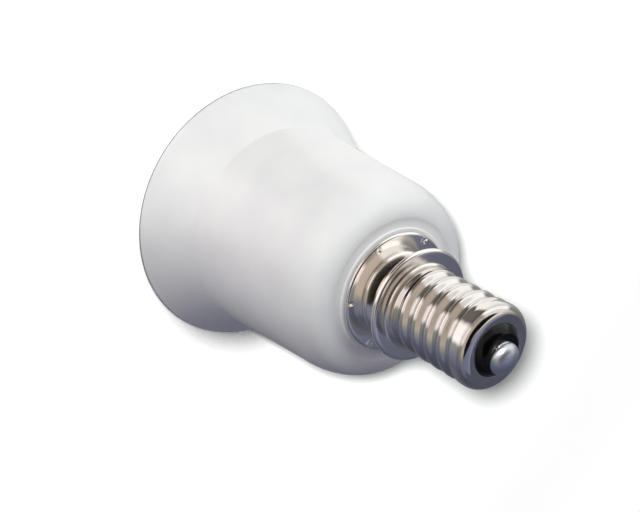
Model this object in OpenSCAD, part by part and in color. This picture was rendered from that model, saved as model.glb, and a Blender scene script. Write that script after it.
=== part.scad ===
// Lamp socket adapter: an E14 screw cap at the top end feeds an E27 screw socket at the mouth.
// It stands on its mouth rim: z = 0 is the rim's plane and +Z runs up the axis to the cap's tip.

/* [Housing] */
// Radius of the mouth rim
mouth_r = 24.4; // [22.5:0.1:27]
// Height of the flared skirt
skirt_h = 9.6; // [7:0.2:12]
// How far the skirt curves in from a straight cone
skirt_bow = 0.35; // [0.1:0.05:0.8]
// How much the body widens from its shoulder down to the skirt
body_taper = 1.5; // [1:0.1:2]
// Height at which the shoulder starts
shoulder_z = 32.3; // [31.6:0.1:34]
// Radius of the long upper sweep of the body
sweep_r = 14; // [12:0.5:18]
// Angle of that sweep
sweep_deg = 26; // [20:1:30]
// Radius of the shoulder's rounded edge
shoulder_round_r = 3.9; // [3.2:0.1:4.4]
// Wall of the skirt at the rim
rim_wall = 1.6; // [1.2:0.1:2.2]
// Wall of the body
body_wall = 1.9; // [1.5:0.1:2.4]
// Rounding of the rim's outer edge
rim_round = 0.5; // [0.2:0.1:0.8]
// Number of ribs inside the body
rib_count = 6; // [4:2:8]
// Thickness of one rib
rib_t = 1.3; // [0.9:0.1:1.8]
// Depth of the ribs at the shoulder, from the body's wall to the shell
rib_depth = 1.4; // [1.2:0.1:2]
// Height at which the ribs start
rib_z = 14; // [12:0.5:20]
// Wall of that seat
seat_wall = 1.4; // [1:0.1:1.7]
// Thickness of the web that carries the centre contact
web_t = 2.2; // [1.6:0.1:2.6]
// Radius of the bore that takes the leads up into the cap
lead_bore_r = 4.6; // [4.5:0.05:4.8]
// Height of the boss under the cap's collar
boss_h = 0.2; // [0.1:0.05:0.5]
// Width of the boss beyond the collar
boss_lip = 0.4; // [0.2:0.05:0.7]
// Depth of the shallow dip round the boss
dip_h = 0.1; // [0.06:0.02:0.3]

/* [Lamp cap] */
// Thickness of the cap's sheet
cap_t = 0.35; // [0.25:0.01:0.4]
// Radius of the collar
collar_r = 10.2; // [9.8:0.1:10.6]
// Height of the collar
collar_h = 0.7; // [0.6:0.05:0.9]
// Rounding of the collar's edge
collar_round = 0.5; // [0.4:0.05:0.55]
// Radius of the neck
neck_r = 6.9; // [6.8:0.05:7.1]
// Height of the neck above the collar
neck_h = 1.65; // [1.4:0.05:2]
// Radius of the fillet between collar and neck
neck_fillet = 0.8; // [0.5:0.05:1]
// Radius of the neck's flare
flare_r = 3.3; // [3:0.1:3.6]
// Angle of that flare
flare_deg = 70; // [64:1:74]
// Radius of the rolled edge of the second lip
lip_round = 0.5; // [0.42:0.02:0.6]
// Length of the plain band between lip and thread
band_h = 1.6; // [1.4:0.1:2.2]
// Radius of the plain band
band_r = 7; // [6.98:0.01:7.1]
// Number of punched stakes round the collar
stake_count = 6; // [3:1:8]
// Radius of the punch that made them
stake_r = 0.6; // [0.4:0.05:0.8]
// Depth of a stake
stake_depth = 0.22; // [0.1:0.02:0.24]
// Turn of the first stake from +X
stake_turn = 3; // [0:1:60]

/* [Cap thread] */
// Radius over the E14 thread's crests
e14_crest_r = 6.92; // [6.88:0.01:6.94]
// Radius in the E14 thread's roots
e14_root_r = 6.12; // [6.05:0.01:6.14]
// Pitch of the E14 thread
e14_pitch = 2.822; // [2.6:0.001:3]
// Turns of the E14 thread
e14_turns = 4.4; // [4:0.1:4.8]
// Turn of the E14 thread's start from +X
e14_phase = 78; // [0:1:359]

/* [Cap tip] */
// Length of the plain band under the nose's rounding
nose_band = 1.6; // [1:0.1:2]
// Rounding of the nose
nose_round = 1.95; // [1.7:0.05:1.95]
// Rounding of the nose's inner edge
nose_edge = 0.45; // [0.42:0.01:0.5]
// Radius of the hole in the nose
nose_hole_r = 4.5; // [4:0.05:4.5]
// Height of the glass cone above the nose's edge
cone_h = 1.55; // [1.2:0.05:2.2]
// Radius of the glass cone's top
cone_top_r = 2.8; // [2.7:0.05:3.2]
// Depth of the glass inside the nose
glass_depth = 3.2; // [2.6:0.1:4]
// Radius of the eyelet's flange
eyelet_flange_r = 1.9; // [1.6:0.05:2.1]
// Thickness of the eyelet's flange
eyelet_t = 0.25; // [0.2:0.01:0.35]
// Wall of the eyelet's tube
eyelet_wall = 0.3; // [0.2:0.02:0.4]
// Radius of the solder dome
dome_r = 2.4; // [2.2:0.05:2.7]
// Height of the solder dome above the eyelet
dome_h = 1.6; // [1.2:0.05:2]

/* [Socket shell] */
// Thickness of the shell's sheet
shell_t = 0.35; // [0.25:0.01:0.4]
// Radius of the plain entry band, inside
entry_r = 13.45; // [13.4:0.01:13.6]
// Length of the plain entry band
entry_h = 2.4; // [2:0.1:3]
// Height of the shell's rim above the mouth rim
shell_z = 6.5; // [5:0.1:8]
// Width of the flared rim
shell_flare = 0.7; // [0.4:0.05:1]
// Radius over the E27 thread's hollows, inside
e27_major_r = 13.35; // [13.3:0.01:13.4]
// Radius between the E27 thread's ridges, inside
e27_minor_r = 12.25; // [12.2:0.01:12.3]
// Pitch of the E27 thread
e27_pitch = 3.629; // [3.5:0.001:3.8]
// Radius of the plain wall above the thread, inside
base_r = 12.9; // [12.8:0.01:13]
// Length of that plain wall
base_h = 2.6; // [2.2:0.1:3.5]
// Rounding between wall and floor, inside
base_round = 1.1; // [0.8:0.1:1.4]
// Share of the floor's radius that the hole in it has
floor_hole_share = 0.625; // [0.6:0.005:0.64]

/* [Centre contact] */
// Share of the floor hole's radius that the contact leaf is wide
leaf_w_share = 0.68; // [0.6:0.01:0.7]
// Thickness of the contact leaf
leaf_t = 0.4; // [0.3:0.02:0.5]
// Share of the floor hole's radius from the rivet to the leaf's bend
leaf_root_share = 0.38; // [0.34:0.01:0.4]
// Length of the root's free end beyond the rivet
leaf_tail = 1.6; // [1.4:0.1:2]
// Radius of the leaf's bend
leaf_bend_r = 0.7; // [0.6:0.05:0.9]
// Rise of the leaf's tongue
leaf_deg = 24; // [18:1:28]
// Length of the leaf's straight tongue
tongue_l = 6.4; // [5.6:0.1:6.8]
// Radius of the tip's curl
tip_r = 1.5; // [1.2:0.1:1.9]
// Angle of the tip's curl
tip_deg = 62; // [50:1:70]
// Share of the floor hole's radius at which the rivet sits
rivet_share = 0.31; // [0.3:0.005:0.33]
// Radius of the rivet's shank
rivet_r = 0.95; // [0.8:0.05:1.05]
// Radius of the rivet's head
rivet_head_r = 1.7; // [1.4:0.05:1.9]
// Height of the rivet's head
rivet_head_h = 0.5; // [0.35:0.05:0.6]
// Radius of the rivet's rolled end
rivet_end_r = 1.45; // [1.3:0.05:1.55]

/* [Screws and tags] */
// Free width round a screw's head, to the shell's rounded corner and to its floor's edge
head_space = 0.3; // [0.25:0.05:0.6]
// Share of a screw head's radius that its shank has
shank_share = 0.53; // [0.45:0.01:0.58]
// Length of a screw's shank below its head
screw_l = 5; // [4:0.1:5.4]
// Height of a screw's head
screw_head_h = 1.2; // [0.9:0.05:1.5]
// Width of a screw's slot
slot_w = 0.45; // [0.3:0.05:0.6]
// Thickness of the solder tags
tag_t = 0.4; // [0.3:0.02:0.5]
// How far the tag under the screw shows beyond the screw's head
tag_rim = 0.1; // [0.05:0.05:0.25]
// Radius of the tag under the rivet's end
centre_tag_r = 1.65; // [1.5:0.05:1.75]
// Width of the tags' tongues
tag_w = 2; // [1.6:0.1:2.4]

/* [Leads and sleeves] */
// Radius of the bare leads
lead_r = 0.4; // [0.3:0.02:0.44]
// Wall of the sleeves
sleeve_wall = 0.38; // [0.25:0.02:0.42]
// Distance of the side lead from the axis
side_lead_y = 3.3; // [3.25:0.05:3.4]
// Radius of the solder joint inside the cap
joint_r = 0.85; // [0.7:0.05:1]

/* [Fits] */
// Running and seating clearance
gap = 0.05; // [0.03:0.01:0.08]
// Clearance round the socket shell and in the neck
loose_gap = 0.2; // [0.15:0.01:0.25]

/* [Hidden] */
$fn = 96;

// Overrun of a cut past the face that it leaves.
over = 0.4;
// How deep ribs and thread ends reach into the walls that carry them.
bite = 0.3;
// Segments round a thread, and rows of points to each pitch on its seen and hidden sides.
thread_seg = 44;
seen_rows = 8;
hidden_rows = 5;

// Sizes that follow the socket shell: its floor's seat, hole, screws and contact, and the body round it.
seat_r = base_r - base_round;
floor_hole_r = seat_r * floor_hole_share;
leaf_w = floor_hole_r * leaf_w_share;
leaf_root = floor_hole_r * leaf_root_share;
rivet_x = floor_hole_r * rivet_share;
screw_y = (seat_r + floor_hole_r) / 2;
screw_head_r = (seat_r - floor_hole_r) / 2 - head_space;
screw_r = screw_head_r * shank_share;
side_tag_r = screw_head_r + tag_rim;
socket_out_r = max(entry_r, base_r) + shell_t;
shoulder_r = socket_out_r + loose_gap + rib_depth + body_wall;
foot_r = shoulder_r + body_taper;

// Housing heights, from the sweep and the rounded edge above it.
sweep_c = [shoulder_r - sweep_r, shoulder_z];
round_c = sweep_c + (sweep_r - shoulder_round_r) * [cos(sweep_deg), sin(sweep_deg)];
top_z = round_c[1] + shoulder_round_r;
boss_z = top_z + boss_h;
boss_r = collar_r + boss_lip;
inner_foot_r = foot_r - body_wall;
inner_shoulder_r = shoulder_r - body_wall;
roof_z = top_z - body_wall;

// Cap heights and radii, all from the boss on which the collar stands.
collar_top = boss_z + collar_h;
neck_z = collar_top + neck_fillet;
flare_z = collar_top + neck_h;
flare_c = [neck_r + flare_r, flare_z];
flare_end = flare_c + flare_r * [-cos(flare_deg), sin(flare_deg)];
lip_c = flare_end + lip_round * [-cos(flare_deg), sin(flare_deg)];
lip_top = lip_c[1] + lip_round;
band_fillet = cap_t;
band_z = lip_top + band_h;
thread_z = band_z - bite;
e14_len = e14_turns * e14_pitch;
nose_z = thread_z + e14_len - bite;
nose_r = e14_crest_r;
nose_c = [nose_r - nose_round, nose_z + nose_band];
nose_top = nose_c[1] + nose_round;
hole_r = min(nose_hole_r, nose_c[0] - nose_edge);
edge_c = [hole_r + nose_edge, nose_top - nose_edge];
cone_z = edge_c[1];
glass_top = cone_z + cone_h;
glass_z = nose_top - glass_depth - nose_edge;
eyelet_top = glass_top + eyelet_t;
sleeve_r = lead_r + gap + sleeve_wall;
eyelet_in_r = lead_r + gap;
eyelet_out_r = eyelet_in_r + eyelet_wall;

// Seat face of the housing, on which the socket shell's floor and the leaf lie.
seat_z = shoulder_z + body_wall / 2;
web_top = seat_z + web_t;
floor_z = seat_z - shell_t;
tube_r = lead_bore_r + seat_wall + gap;
rib_in_r = socket_out_r + loose_gap;
spigot_r = neck_r - cap_t - loose_gap;
spigot_z = lip_c[1] - lip_round;
band_in_r = band_r - cap_t;

// Socket shell heights.
entry_z = shell_z + shell_flare;
e27_z = entry_z + entry_h - bite;
e27_top = floor_z - base_h + bite;
e27_len = e27_top - e27_z;

// Places of the leads and their joints.
side_tag_end = (floor_hole_r + side_lead_y) / 2;
tag_z = floor_z - tag_t;
run_z = tag_z - lead_r - gap;
joint_z = (lip_top + thread_z) / 2;

function polar(c, r, a) = c + r * [cos(a), sin(a)];
function arc(c, r, a0, a1, n) = [for (i = [0:n]) polar(c, r, a0 + (a1 - a0) * i / n)];
function bow(p, q, h, n) =
    let (d = q - p, side = [-d[1], d[0]] / norm(d))
    [for (i = [0:n]) let (t = i / n) p + d * t + side * h * 4 * t * (1 - t)];
function smooth(t) = let (u = min(1, max(0, t))) u * u * (3 - 2 * u);
function wall_r(z) = inner_foot_r + (inner_shoulder_r - inner_foot_r) * (z - skirt_h) / (shoulder_z - skirt_h);
// The strip of a folded sheet: both sides of a line, half a thickness away.
function side_of(line, d) =
    [for (i = [0:len(line) - 1])
        let (a = line[max(0, i - 1)], b = line[min(len(line) - 1, i + 1)], u = (b - a) / norm(b - a))
        line[i] + d * [-u[1], u[0]]];
function strip(line, t) =
    let (far = side_of(line, t / 2), near = side_of(line, -t / 2), n = len(line))
    concat(far, [for (i = [n - 1:-1:0]) near[i]]);

// Housing outline from the rim's outer edge up over the shoulder to the spigot.
function housing_outside() = concat(
    arc([mouth_r - rim_round, rim_round], rim_round, -90, 0, 5),
    bow([mouth_r, rim_round], [foot_r, skirt_h], skirt_bow, 10),
    arc(sweep_c, sweep_r, 0, sweep_deg, 8),
    [for (p = arc(round_c, shoulder_round_r, sweep_deg, 90, 10)) if (p[1] > polar(sweep_c, sweep_r, sweep_deg)[1]) p],
    dip_line(),
    [[boss_r, boss_z], [collar_r - collar_round, boss_z], [collar_r - collar_round, collar_top - cap_t - gap],
     [spigot_r, collar_top - cap_t - gap], [spigot_r, spigot_z - lip_round],
     [spigot_r - lip_round, spigot_z], [lead_bore_r, spigot_z]]);
function dip_line() =
    let (p = bow([round_c[0], top_z], [boss_r + boss_h, top_z], dip_h, 8))
    [for (i = [1:8]) p[i]];

// Housing outline back down inside: bore, web, pocket, seat ring, moat and skirt.
function moat_roof() = concat(
    [[seat_r, roof_z]],
    [for (p = arc(round_c, shoulder_round_r - body_wall, 90, sweep_deg, 6)) p],
    [for (p = arc(sweep_c, sweep_r - body_wall, sweep_deg, 0, 6)) if (p[1] < polar(sweep_c, sweep_r - body_wall, sweep_deg)[1]) p]);
function housing_inside() = concat(
    [[lead_bore_r, web_top], [0, web_top], [0, seat_z], [tube_r, seat_z], [tube_r, roof_z],
     [seat_r - seat_wall, roof_z], [seat_r - seat_wall, seat_z], [seat_r, seat_z]],
    moat_roof(),
    bow([inner_foot_r, skirt_h], [mouth_r - rim_wall, rim_round], -skirt_bow, 8),
    [[mouth_r - rim_wall + rim_round / 2, 0]]);

// The space that the ribs fill, reaching a bite into the walls on all sides.
function rib_zone() = concat(
    [[rib_in_r, seat_z], [rib_in_r, rib_z], [wall_r(rib_z) + bite, rib_z], [inner_shoulder_r + bite, shoulder_z]],
    arc(sweep_c, sweep_r - body_wall + bite, 4, sweep_deg, 4),
    [[round_c[0], roof_z + bite], [tube_r - bite, roof_z + bite], [tube_r - bite, seat_z]]);

module housing() {
    color("#ECEAF0")
    difference() {
        union() {
            rotate_extrude() polygon(concat(housing_outside(), housing_inside()));
            intersection() {
                rotate_extrude() polygon(rib_zone());
                for (i = [0:rib_count - 1])
                    rotate(i * 360 / rib_count)
                        translate([0, -rib_t / 2, 0]) cube([mouth_r, rib_t, top_z]);
            }
            for (s = [-1, 1])
                translate([0, s * screw_y, seat_z])
                    cylinder(r = screw_head_r + head_space, h = roof_z - seat_z + bite);
        }
        for (s = [-1, 1])
            translate([0, s * screw_y, seat_z - over]) cylinder(r = screw_r + gap, h = screw_l + over);
        translate([-rivet_x, 0, seat_z - over]) cylinder(r = rivet_r + gap, h = web_t + 2 * over);
        translate([0, side_lead_y, seat_z - over]) cylinder(r = lead_r + gap, h = web_t + 2 * over);
    }
}

// One row of a threaded tube: plain ends, a rolled thread between them.
function thread_at(z, a, s) =
    let (run = s[2] / 2, z0 = s[0], z1 = s[0] + s[1], e = smooth((z - z0) / run) * smooth((z1 - z) / run),
         mid = (s[3] + s[4]) / 2, swing = (s[3] - s[4]) / 2, plain = z < z0 + s[1] / 2 ? s[5] : s[6])
    plain + (mid + swing * cos(360 * (z - z0) / s[2] - a + s[7]) - plain) * e;
function thread_rows(s, rows) =
    [for (i = [0:rows]) let (z = s[0] + s[1] * i / rows)
        for (j = [0:thread_seg - 1]) let (a = 360 * j / thread_seg, r = thread_at(z, a, s))
            [r * cos(a), r * sin(a), z]];
function skin(first, rows, out) =
    [for (i = [0:rows - 1]) for (j = [0:thread_seg - 1])
        let (k = (j + 1) % thread_seg, a = first + i * thread_seg, b = a + thread_seg)
        for (f = out ? [[a + j, b + j, b + k], [a + j, b + k, a + k]]
                     : [[a + j, b + k, b + j], [a + j, a + k, b + k]]) f];

// A thin tube with a rolled thread. Each side is [foot, length, pitch, crest, root, foot radius, top radius, phase].
module threaded_tube(outer, inner, outer_rows, inner_rows) {
    n_out = ceil(outer[1] / outer[2] * outer_rows);
    n_in = ceil(inner[1] / inner[2] * inner_rows);
    in0 = (n_out + 1) * thread_seg;
    last_out = n_out * thread_seg;
    last_in = in0 + n_in * thread_seg;
    foot = [for (j = [0:thread_seg - 1]) let (k = (j + 1) % thread_seg) [j, k, in0 + k, in0 + j]];
    top = [for (j = [0:thread_seg - 1]) let (k = (j + 1) % thread_seg)
        [last_out + j, last_in + j, last_in + k, last_out + k]];
    polyhedron(points = concat(thread_rows(outer, n_out), thread_rows(inner, n_in)),
               faces = concat(skin(0, n_out, true), skin(in0, n_in, false), foot, top));
}

// Cap sheet below the thread, outside then inside: collar, neck, flare, second lip and plain band.
function cap_foot() = concat(
    [[collar_r, boss_z]],
    arc([collar_r - collar_round, collar_top - collar_round], collar_round, 0, 90, 6),
    arc([neck_r + neck_fillet, neck_z], neck_fillet, 270, 180, 6),
    arc(flare_c, flare_r, 180, 180 - flare_deg, 10),
    [for (a = [-flare_deg + 10:20:80]) polar(lip_c, lip_round, a)],
    [[lip_c[0], lip_top]],
    arc([band_r + band_fillet, lip_top + band_fillet], band_fillet, 270, 180, 4),
    [[band_r, band_z], [band_in_r, band_z]],
    arc([band_r + band_fillet, lip_top + band_fillet], band_fillet + cap_t, 180, 270, 4),
    [[lip_c[0], lip_top - cap_t]],
    [for (a = [60:-40:-20]) polar(lip_c, lip_round - cap_t, a)],
    arc(flare_c, flare_r + cap_t, 180 - flare_deg, 180, 8),
    arc([neck_r + neck_fillet, neck_z], neck_fillet + cap_t, 180, 270, 6),
    arc([collar_r - collar_round, collar_top - collar_round], collar_round - cap_t, 90, 0, 4),
    [[collar_r - cap_t, boss_z]]);
function cap_nose() = concat(
    [[nose_r, nose_z]],
    arc(nose_c, nose_round, 0, 90, 10),
    arc(edge_c, nose_edge, 90, 180, 5),
    arc(edge_c, nose_edge - cap_t, 180, 90, 2),
    arc(nose_c, nose_round - cap_t, 90, 0, 8),
    [[nose_r - cap_t, nose_z]]);

module cap_shell() {
    wall = cap_t - gap;
    mid_band = (band_r + band_in_r) / 2;
    mid_nose = nose_r - cap_t / 2;
    rim = cap_t / 4;
    color("#B9B4AE")
    difference() {
        union() {
            rotate_extrude() polygon(cap_foot());
            rotate_extrude() polygon(cap_nose());
            threaded_tube(
                [thread_z, e14_len, e14_pitch, e14_crest_r, e14_root_r, mid_band + rim, mid_nose + rim, e14_phase],
                [thread_z, e14_len, e14_pitch, e14_crest_r - wall, e14_root_r - wall, mid_band - rim,
                 mid_nose - rim, e14_phase],
                seen_rows, hidden_rows);
        }
        for (i = [0:stake_count - 1])
            rotate(stake_turn + i * 360 / stake_count)
                translate([collar_r - collar_round - stake_r / 2, 0, collar_top + stake_r - stake_depth])
                    sphere(r = stake_r);
    }
}

module cap_insulator() {
    in_r = nose_r - cap_t - gap;
    root_in_r = e14_root_r - cap_t - gap;
    color("#141414")
    rotate_extrude() polygon(concat(
        [[eyelet_out_r + gap, glass_z], [root_in_r, glass_z], [root_in_r, nose_z + bite], [in_r, nose_c[1] - bite]],
        arc(nose_c, nose_round - cap_t - gap, 0, 90, 8),
        [[edge_c[0], cone_z - gap], [hole_r - gap, cone_z - gap], [cone_top_r, glass_top],
         [eyelet_out_r + gap, glass_top]]));
}

module tip_eyelet() {
    color("#C9A961")
    rotate_extrude() polygon([
        [eyelet_in_r, glass_z], [eyelet_out_r, glass_z], [eyelet_out_r, glass_top],
        [eyelet_flange_r, glass_top], [eyelet_flange_r, eyelet_top], [eyelet_in_r, eyelet_top]]);
}

module tip_solder() {
    foot_z = glass_top + gap;
    rise = eyelet_top + dome_h - foot_z;
    ball_r = (dome_r * dome_r + rise * rise) / (2 * rise);
    color("#C4C6C8")
    difference() {
        intersection() {
            translate([0, 0, foot_z + rise - ball_r]) sphere(r = ball_r);
            translate([0, 0, foot_z]) cylinder(r = 2 * dome_r, h = rise + over);
        }
        translate([0, 0, glass_top]) cylinder(r = eyelet_flange_r + gap, h = eyelet_t);
    }
}

module centre_lead() {
    color("#C87A4A")
    translate([0, 0, web_top + gap]) cylinder(r = lead_r, h = eyelet_top - web_top - gap);
}

module centre_sleeve() {
    z = web_top + 2 * tag_t;
    color("#D8D2BC")
    translate([0, 0, z]) difference() {
        cylinder(r = sleeve_r, h = glass_z - tag_t - z);
        translate([0, 0, -over]) cylinder(r = lead_r + gap, h = glass_z - z + 2 * over);
    }
}

// The side lead: down through its tag, in under the seat, up the bore and out to the cap's wall.
function side_route() = [
    [0, side_tag_end, floor_z], [0, side_tag_end, run_z], [0, side_lead_y, run_z],
    [0, side_lead_y, spigot_z], [0, band_in_r - joint_r, joint_z]];
module wire(route, r) {
    for (i = [1:len(route) - 1]) {
        d = route[i] - route[i - 1];
        translate(route[i - 1])
            rotate([0, acos(d[2] / norm(d)), atan2(d[1], d[0])])
                cylinder(r = r, h = norm(d));
    }
    for (i = [1:len(route) - 2]) translate(route[i]) sphere(r = r);
}
module side_lead() {
    color("#C87A4A") wire(side_route(), lead_r);
}

module side_sleeve() {
    z = web_top + tag_t;
    color("#D8D2BC")
    translate([0, side_lead_y, z]) difference() {
        cylinder(r = sleeve_r, h = spigot_z - 2 * lead_r - z);
        translate([0, 0, -over]) cylinder(r = lead_r + gap, h = spigot_z);
    }
}

module side_solder() {
    color("#BFC2C4")
    difference() {
        intersection() {
            translate([0, band_in_r - joint_r / 2, joint_z]) sphere(r = joint_r);
            translate([0, 0, lip_top - cap_t]) cylinder(r = band_in_r - gap / 2, h = thread_z - lip_top + cap_t);
        }
        wire(side_route(), lead_r + gap / 2);
    }
}

// Socket sheet at the mouth end and at the floor end, on both sides of the thread.
function shell_mouth() = [
    [entry_r + shell_flare, shell_z], [entry_r, entry_z], [entry_r, e27_z + bite],
    [entry_r + shell_t, e27_z + bite], [entry_r + shell_t, entry_z],
    [entry_r + shell_t + shell_flare, shell_z]];
function shell_base() =
    let (c = [base_r - base_round, floor_z - base_round])
    concat([[base_r + shell_t, e27_top - bite], [base_r, e27_top - bite]],
           arc(c, base_round, 0, 90, 5),
           [[floor_hole_r, floor_z], [floor_hole_r, seat_z]],
           arc(c, base_round + shell_t, 90, 0, 6));

module socket_shell() {
    rim = shell_t / 4;
    foot = entry_r + shell_t / 2;
    head = base_r + shell_t / 2;
    wall = shell_t - gap / 2;
    color("#B7B2AC")
    difference() {
        union() {
            rotate_extrude() polygon(shell_mouth());
            rotate_extrude() polygon(shell_base());
            threaded_tube(
                [e27_z, e27_len, e27_pitch, e27_major_r + wall, e27_minor_r + wall, foot + rim, head + rim, 0],
                [e27_z, e27_len, e27_pitch, e27_major_r, e27_minor_r, foot - rim, head - rim, 0],
                hidden_rows, seen_rows);
        }
        for (s = [-1, 1])
            translate([0, s * screw_y, floor_z - over]) cylinder(r = screw_r + gap, h = shell_t + 2 * over);
    }
}

// One pan-headed screw with its head's underside at z = 0 and its shank going up.
module screw() {
    difference() {
        union() {
            translate([0, 0, -screw_head_h]) cylinder(r1 = screw_head_r * 0.8, r2 = screw_head_r, h = screw_head_h / 2);
            translate([0, 0, -screw_head_h / 2]) cylinder(r = screw_head_r, h = screw_head_h / 2);
            cylinder(r = screw_r, h = screw_l);
        }
        translate([-screw_head_r - over, -slot_w / 2, -screw_head_h - over])
            cube([2 * (screw_head_r + over), slot_w, screw_head_h / 2 + over]);
    }
}
module shell_screws() {
    color("#A8A6A2") {
        translate([0, screw_y, tag_z]) screw();
        translate([0, -screw_y, floor_z]) screw();
    }
}

module side_tag() {
    color("#C9B27A")
    translate([0, 0, tag_z]) difference() {
        union() {
            translate([0, screw_y, 0]) cylinder(r = side_tag_r, h = tag_t);
            translate([-tag_w / 2, side_tag_end, 0]) cube([tag_w, screw_y - side_tag_end, tag_t]);
            translate([0, side_tag_end, 0]) cylinder(r = tag_w / 2, h = tag_t);
        }
        translate([0, screw_y, -over]) cylinder(r = screw_r + gap, h = tag_t + 2 * over);
        translate([0, side_tag_end, -over]) cylinder(r = lead_r + gap, h = tag_t + 2 * over);
    }
}

// Middle line of the leaf, as x and height: root, bend, tongue and curled tip.
bend_c = [-rivet_x - leaf_root, seat_z - leaf_t / 2 - leaf_bend_r];
function leaf_line() =
    let (bend = arc(bend_c, leaf_bend_r, 90, 270 - leaf_deg, 10),
         end = bend[10] + tongue_l * [cos(leaf_deg), -sin(leaf_deg)],
         curl_c = end + tip_r * [sin(leaf_deg), cos(leaf_deg)])
    concat([[-rivet_x + leaf_tail, seat_z - leaf_t / 2]], bend, arc(curl_c, tip_r, 270 - leaf_deg, 270 - leaf_deg + tip_deg, 8));

module contact_leaf() {
    color("#C8935A")
    difference() {
        rotate([90, 0, 0]) linear_extrude(height = leaf_w, center = true) polygon(strip(leaf_line(), leaf_t));
        translate([-rivet_x, 0, seat_z - leaf_t - gap]) cylinder(r = rivet_r + gap, h = leaf_t + over);
    }
}

module contact_rivet() {
    end_z = web_top + tag_t;
    color("#C9B27A")
    translate([-rivet_x, 0, 0]) difference() {
        union() {
            translate([0, 0, seat_z - leaf_t - rivet_head_h]) cylinder(r = rivet_head_r, h = rivet_head_h);
            translate([0, 0, seat_z - leaf_t]) cylinder(r = rivet_r, h = end_z - seat_z + leaf_t);
            translate([0, 0, end_z]) cylinder(r = rivet_end_r, h = tag_t);
        }
        translate([0, 0, end_z - web_t / 2]) cylinder(r = rivet_r / 2, h = web_t);
    }
}

module centre_tag() {
    color("#C9B27A")
    translate([0, 0, web_top]) difference() {
        union() {
            translate([-rivet_x, 0, 0]) cylinder(r = centre_tag_r, h = tag_t);
            translate([-rivet_x, -tag_w / 2, 0]) cube([rivet_x, tag_w, tag_t]);
            cylinder(r = tag_w / 2, h = tag_t);
        }
        translate([-rivet_x, 0, -over]) cylinder(r = rivet_r + gap, h = tag_t + 2 * over);
        translate([0, 0, -over]) cylinder(r = lead_r + gap, h = tag_t + 2 * over);
    }
}

housing();
cap_shell();
cap_insulator();
tip_eyelet();
tip_solder();
centre_lead();
centre_sleeve();
side_lead();
side_sleeve();
side_solder();
socket_shell();
shell_screws();
side_tag();
contact_leaf();
contact_rivet();
centre_tag();
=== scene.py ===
import bmesh
import bpy
import numpy as np
from mathutils import Matrix, Vector


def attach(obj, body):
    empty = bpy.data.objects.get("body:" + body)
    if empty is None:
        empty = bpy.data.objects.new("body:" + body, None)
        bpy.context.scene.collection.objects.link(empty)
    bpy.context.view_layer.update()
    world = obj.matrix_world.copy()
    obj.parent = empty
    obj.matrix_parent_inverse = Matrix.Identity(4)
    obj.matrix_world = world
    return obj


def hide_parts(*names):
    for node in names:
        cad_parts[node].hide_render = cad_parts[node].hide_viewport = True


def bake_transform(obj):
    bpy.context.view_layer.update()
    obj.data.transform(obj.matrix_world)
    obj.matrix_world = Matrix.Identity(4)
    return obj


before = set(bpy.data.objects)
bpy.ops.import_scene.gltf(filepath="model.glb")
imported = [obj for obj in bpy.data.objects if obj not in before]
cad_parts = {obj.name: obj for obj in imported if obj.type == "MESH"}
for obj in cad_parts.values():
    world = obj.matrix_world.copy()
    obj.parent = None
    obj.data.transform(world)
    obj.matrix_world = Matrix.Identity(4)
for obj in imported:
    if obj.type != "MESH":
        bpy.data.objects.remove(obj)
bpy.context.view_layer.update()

# A lamp socket adapter on its mouth rim: z = 0 is the rim's plane, and +Z runs to the cap's tip.
# Lengths are in millimetres, as on a maker's drawing. MM turns them to metres in the meshes.
MM = 0.001

# Housing, a white moulding.
MOUTH_R, FOOT_R, SKIRT_H, SKIRT_BOW = 24.4, 18.8, 9.6, 0.35
SHOULDER_R, SHOULDER_Z, SWEEP_R, SWEEP_DEG, ROUND_R = 17.3, 32.3, 14.0, 26.0, 3.9
RIM_WALL, BODY_WALL, RIM_ROUND, CORNER_ROUND = 1.6, 1.9, 0.5, 0.22
SEAT_R, SEAT_WALL, WEB_T, LEAD_BORE_R = 11.8, 1.4, 2.2, 4.6
BOSS_H, BOSS_LIP, DIP_H = 0.2, 0.4, 0.1
RIB_COUNT, RIB_T, RIB_Z, RIB_RISE, RIB_FALL = 6, 1.3, 14.0, 3.0, 0.35

# Cap shell, one pressing in thin sheet.
CAP_T, COLLAR_R, COLLAR_H, COLLAR_ROUND = 0.35, 10.2, 0.7, 0.5
NECK_R, NECK_H, NECK_FILLET, NECK_LEAN, UNDERCUT_DEG = 6.9, 1.65, 0.4, 0.09, 3.0
FLARE_R, FLARE_DEG, LIP_ROUND = 3.3, 70.0, 0.5
BAND_H, BAND_R, BAND_LEAN = 1.6, 7.0, 0.02
STAKES, STAKE_R, STAKE_DEPTH, STAKE_TURN, STAKE_BURR = 6, 0.6, 0.22, 3.0, 0.03
E14_CREST, E14_ROOT, E14_PITCH = 6.92, 6.12, 2.822
E14_TURNS, E14_PHASE, E14_NARROW = 4.8, 78.0, 1.12
NOSE_BAND, NOSE_ROUND, NOSE_EDGE, NOSE_HOLE_R, NOSE_DISH = 0.721, 1.7, 0.37, 4.05, 0.06

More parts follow.
